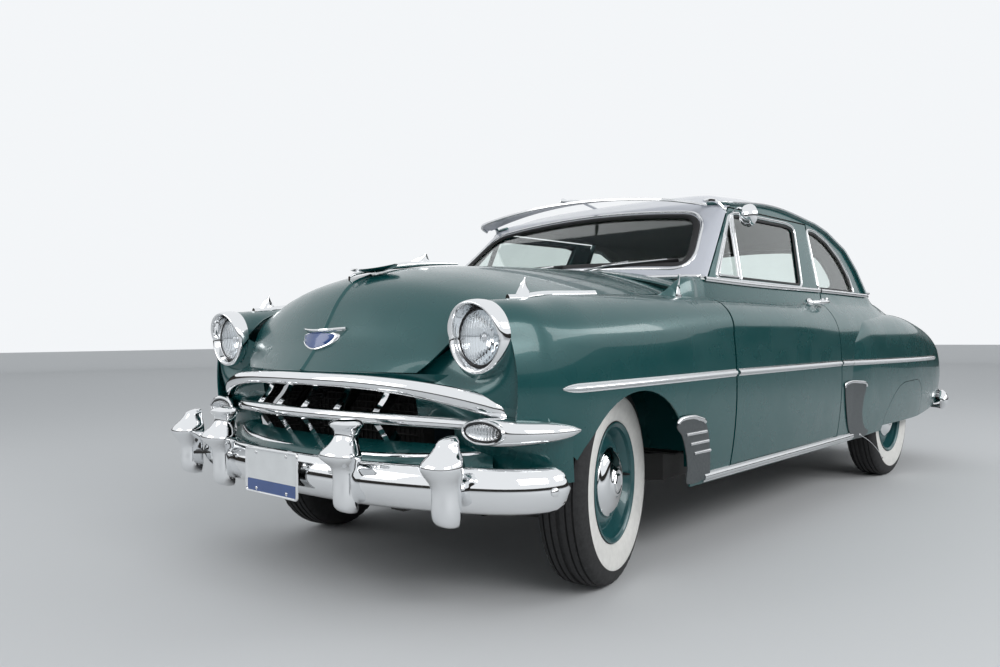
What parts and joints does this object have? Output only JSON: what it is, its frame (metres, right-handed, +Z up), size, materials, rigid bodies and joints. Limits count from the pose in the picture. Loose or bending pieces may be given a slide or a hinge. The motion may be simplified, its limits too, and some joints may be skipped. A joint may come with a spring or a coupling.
{
  "type": "two-door sedan car of the 1950s",
  "caption": "Classic 1950s two-door sedan with steered front wheels, opening doors, hood and deck lid.",
  "frame": {"origin": "on the floor under the middle of the length and width", "axes": "+X forward, +Y to the car's left, +Z up"},
  "size_m": [5.0104, 1.9146, 1.598],
  "materials": {
    "teal_paint": "glossy metallic",
    "pale_paint": "glossy",
    "dash_paint": "satin",
    "wheel_paint": "glossy",
    "chrome": "polished",
    "stainless": "polished",
    "glass": "clear",
    "lamp_glass": "fluted",
    "red_glass": "clear",
    "tyre": "matte with a white wall",
    "frame_black": "satin",
    "cast_iron": "rough",
    "radiator_black": "matte",
    "exhaust_steel": "dull",
    "seat_cloth": "woven",
    "wheel_plastic": "glossy"
  },
  "bodies": {
    "body": {"body_mouldings": "stainless", "chassis_frame": "frame_black", "cowl": "teal_paint", "dashboard": "dash_paint", "engine_block": "cast_iron", "exhaust": "exhaust_steel", "fender_skirts": "teal_paint", "floor_pan": "frame_black", "front_aprons": "frame_black", "front_bumper": "chrome", "front_fenders": "teal_paint", "front_lamps": "chrome", "front_seat": "seat_cloth", "front_suspension": "frame_black", "fuel_tank": "frame_black", "grille": "chrome", "lamp_lenses": "lamp_glass", "nose_panel": "teal_paint", "quarter_panels": "teal_paint", "radiator": "radiator_black", "rear_axle": "frame_black", "rear_body_panel": "teal_paint", "rear_bumper": "chrome", "rear_fenders": "teal_paint", "rear_seat": "seat_cloth", "roof": "pale_paint", "seat_base": "frame_black", "stone_guards": "stainless", "sun_visor": "pale_paint", "tail_lamps": "red_glass", "window_glass": "glass"},
    "door_left": {"left_door": "teal_paint", "left_door_glass": "glass", "left_door_trim": "stainless"},
    "door_right": {"right_door": "teal_paint", "right_door_glass": "glass", "right_door_trim": "stainless"},
    "hood_lid": {"hood": "teal_paint"},
    "boot_lid": {"deck_lid": "teal_paint"},
    "steer_left": {"left_knuckle": "cast_iron"},
    "steer_right": {"right_knuckle": "cast_iron"},
    "wheel_front_left": {"left_front_tyre": "tyre", "left_front_wheel": "wheel_paint"},
    "wheel_front_right": {"right_front_tyre": "tyre", "right_front_wheel": "wheel_paint"},
    "wheel_rear_left": {"left_rear_tyre": "tyre", "left_rear_wheel": "wheel_paint"},
    "wheel_rear_right": {"right_rear_tyre": "tyre", "right_rear_wheel": "wheel_paint"},
    "steering": {"steering_wheel": "wheel_plastic"}
  },
  "joints": [
    {"name": "left_door_hinge", "type": "hinge", "parent": "body", "child": "door_left", "pos_m": [0.902, 0.909, 0.6], "axis": [0, 0, -1], "range_deg": [0, 65]},
    {"name": "right_door_hinge", "type": "hinge", "parent": "body", "child": "door_right", "pos_m": [0.902, -0.909, 0.6], "axis": [0, 0, 1], "range_deg": [0, 65]},
    {"name": "hood_hinge", "type": "hinge", "parent": "body", "child": "hood_lid", "pos_m": [1.083, 0, 1.118], "axis": [0, -1, 0], "range_deg": [0, 50]},
    {"name": "deck_lid_hinge", "type": "hinge", "parent": "body", "child": "boot_lid", "pos_m": [-1.449, 0, 1.032], "axis": [0, 1, 0], "range_deg": [0, 60]},
    {"name": "left_steer", "type": "hinge", "parent": "body", "child": "steer_left", "pos_m": [1.645, 0.65, 0.35], "axis": [0, 0, 1], "range_deg": [-47, 17]},
    {"name": "right_steer", "type": "hinge", "parent": "body", "child": "steer_right", "pos_m": [1.645, -0.65, 0.35], "axis": [0, 0, 1], "range_deg": [-47, 17]},
    {"name": "steering_wheel_turn", "type": "hinge", "parent": "body", "child": "steering", "pos_m": [0.52, 0.36, 0.985], "axis": [-0.8713, 0, 0.4907], "range_deg": [-864, 324]},
    {"name": "left_front_roll", "type": "hinge", "parent": "steer_left", "child": "wheel_front_left", "pos_m": [1.62688, 0.71762, 0.35], "axis": [-0.2588, 0.9659, 0], "continuous": true},
    {"name": "right_front_roll", "type": "hinge", "parent": "steer_right", "child": "wheel_front_right", "pos_m": [1.66312, -0.71762, 0.35], "axis": [-0.2588, 0.9659, 0], "continuous": true},
    {"name": "left_rear_roll", "type": "hinge", "parent": "body", "child": "wheel_rear_left", "pos_m": [-1.276, 0.746, 0.35], "axis": [0, 1, 0], "continuous": true},
    {"name": "right_rear_roll", "type": "hinge", "parent": "body", "child": "wheel_rear_right", "pos_m": [-1.276, -0.746, 0.35], "axis": [0, 1, 0], "continuous": true}
  ],
  "couplings": [
    {"joint": "right_steer", "follows": "left_steer", "ratio": 1},
    {"joint": "steering_wheel_turn", "follows": "left_steer", "ratio": 18}
  ]
}
